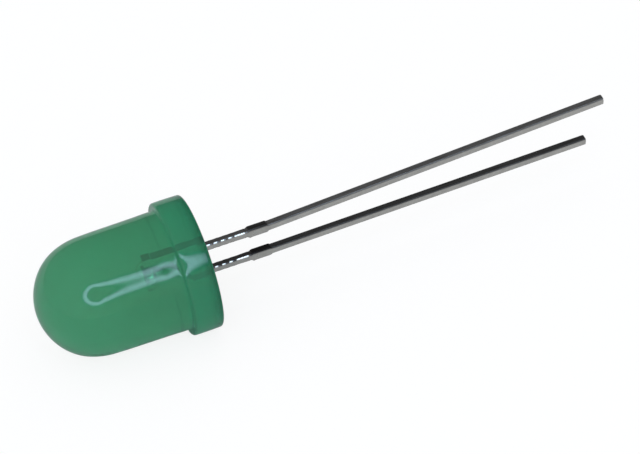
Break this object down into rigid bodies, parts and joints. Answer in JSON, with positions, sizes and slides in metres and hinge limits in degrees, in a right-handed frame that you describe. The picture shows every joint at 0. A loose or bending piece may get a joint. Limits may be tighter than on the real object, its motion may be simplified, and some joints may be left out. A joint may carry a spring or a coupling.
{
  "type": "through hole led",
  "caption": "Round through hole LED: a domed, translucent green epoxy lens with a flange and a cathode flat, on long square leads for a circuit board.",
  "frame": {"origin": "centre of the lens's flat rear face, on the lens axis", "axes": "+X along the leads, away from the dome; +Z across the leads, from the cathode (shorter) to the anode (longer); the LED lies on its cathode flat, which faces -Z"},
  "size_m": [0.0504, 0.0114, 0.0107],
  "materials": {
    "epoxy": "moulded, glossy, lightly diffused translucent green epoxy",
    "lead": "tinned steel, drawn along its length, sheared at the tie bar",
    "die": "sawn semiconductor crystal",
    "adhesive": "silver filled adhesive",
    "gold": "drawn gold wire"
  },
  "bodies": {
    "root": {"lens": "epoxy", "anode_lead": "lead", "cathode_lead": "lead", "led_die": "die", "die_attach": "adhesive", "bond_wire": "gold"}
  },
  "joints": []
}
